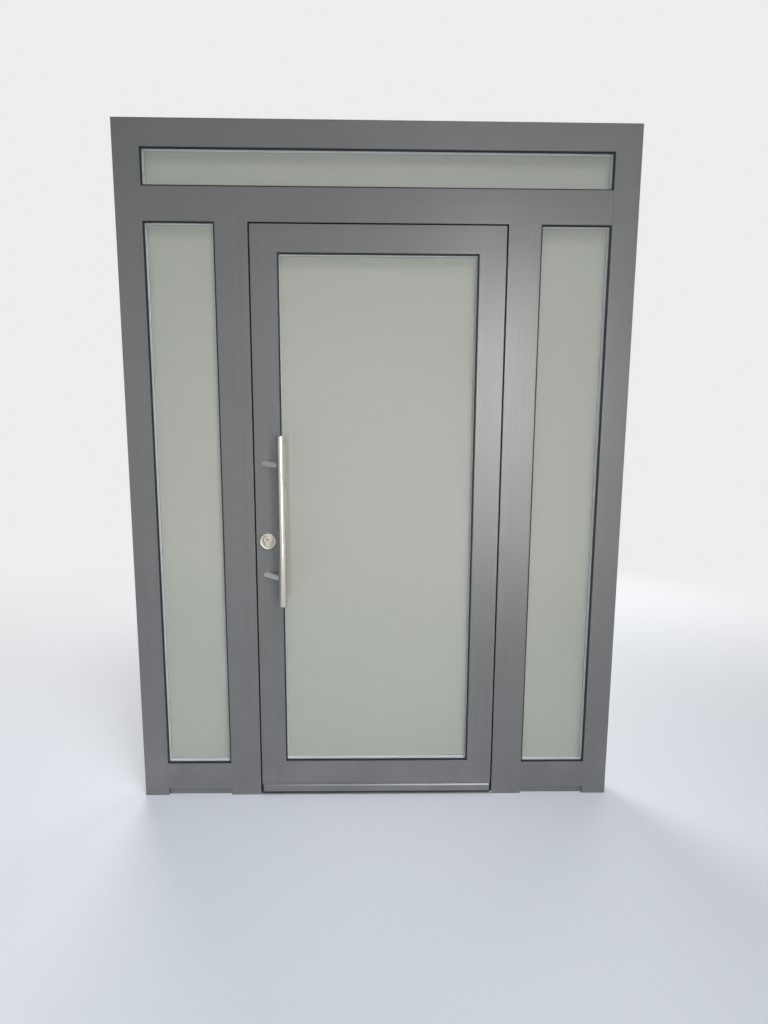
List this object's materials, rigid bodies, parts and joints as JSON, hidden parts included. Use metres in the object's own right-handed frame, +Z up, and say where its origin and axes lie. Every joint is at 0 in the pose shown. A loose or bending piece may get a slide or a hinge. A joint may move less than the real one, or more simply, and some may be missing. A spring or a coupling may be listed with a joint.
{
  "type": "glass entrance door",
  "caption": "Glazed entrance door in its metal frame, with side lights, a transom light, a vertical pull bar and a round lock cylinder.",
  "frame": {"origin": "on the floor, at the middle of the frame's footprint in width and depth", "axes": "+Z up, +X to the right seen from the street, +Y through the door towards the room"},
  "size_m": [1.744, 0.207, 2.382],
  "materials": {
    "frame_metal": "satin grey-brown metallic coat",
    "threshold_metal": "anodised, worn matt",
    "insulating_bar": "matt",
    "clear_glass": "polished",
    "opal_glass": "satin opal",
    "spacer": "matt",
    "rubber": "matt",
    "block_plastic": "matt",
    "stainless": "brushed",
    "nickel": "satin",
    "cylinder_metal": "satin nickel plate",
    "lock_steel": "brushed"
  },
  "bodies": {
    "frame": {"jamb_left": "frame_metal", "jamb_right": "frame_metal", "head_rail": "frame_metal", "mullion_left": "frame_metal", "mullion_right": "frame_metal", "door_head": "frame_metal", "side_rail_left": "frame_metal", "side_rail_right": "frame_metal", "sill_rail_left": "frame_metal", "sill_rail_right": "frame_metal", "sill_base_left": "frame_metal", "sill_base_right": "frame_metal", "threshold": "threshold_metal", "frame_insulating_bars": "insulating_bar", "transom_outer_pane": "clear_glass", "transom_inner_pane": "opal_glass", "left_outer_pane": "clear_glass", "left_inner_pane": "opal_glass", "right_outer_pane": "clear_glass", "right_inner_pane": "opal_glass", "frame_glass_spacers": "spacer", "frame_outer_gaskets": "rubber", "frame_inner_gaskets": "rubber", "transom_beads": "frame_metal", "left_beads": "frame_metal", "right_beads": "frame_metal", "frame_setting_blocks": "block_plastic", "frame_rebate_seal": "rubber", "strike_plate": "lock_steel", "hinge_frame_halves": "frame_metal", "hinge_pins": "lock_steel"},
    "leaf": {"lock_stile": "frame_metal", "hinge_stile": "frame_metal", "top_rail": "frame_metal", "bottom_rail": "frame_metal", "leaf_insulating_bars": "insulating_bar", "drip_rail": "frame_metal", "bottom_seal": "rubber", "leaf_outer_pane": "clear_glass", "leaf_inner_pane": "opal_glass", "leaf_glass_spacer": "spacer", "leaf_outer_gasket": "rubber", "leaf_inner_gasket": "rubber", "leaf_beads": "frame_metal", "leaf_setting_blocks": "block_plastic", "lock_case": "lock_steel", "lock_faceplate": "lock_steel", "cylinder_body": "cylinder_metal", "outer_rosette": "nickel", "inner_rosette": "stainless", "lever_rosette": "stainless", "pull_bar": "stainless", "pull_bar_caps": "stainless", "pull_bar_standoffs": "stainless", "hinge_leaf_halves": "frame_metal"},
    "lever": {"lever_handle": "stainless", "lever_spindle": "lock_steel"},
    "latch": {"latch_bolt": "lock_steel"},
    "deadbolt": {"deadbolt": "lock_steel"},
    "plug": {"cylinder_plug": "cylinder_metal"}
  },
  "joints": [
    {"name": "leaf_swing", "type": "hinge", "parent": "frame", "child": "leaf", "pos_m": [0.4525, 0.048, 0], "axis": [0, 0, -1], "range_deg": [0, 100]},
    {"name": "lever_turn", "type": "hinge", "parent": "leaf", "child": "lever", "pos_m": [-0.391, 0.035, 1.066], "axis": [0, 1, 0], "range_deg": [0, 40], "stiffness_Nm_per_rad": 1.5, "springref_deg": -22.92},
    {"name": "latch_slide", "type": "slide", "parent": "leaf", "child": "latch", "axis": [1, 0, 0], "range_m": [0, 0.012]},
    {"name": "plug_turn", "type": "hinge", "parent": "leaf", "child": "plug", "pos_m": [-0.391, 0, 0.988], "axis": [0, 1, 0], "range_deg": [0, 360]},
    {"name": "deadbolt_throw", "type": "slide", "parent": "leaf", "child": "deadbolt", "axis": [-1, 0, 0], "range_m": [0, 0.02]}
  ],
  "couplings": [
    {"joint": "latch_slide", "follows": "lever_turn", "m_per_rad": 0.01718},
    {"joint": "plug_turn", "follows": "deadbolt_throw", "rad_per_m": 314.15}
  ]
}
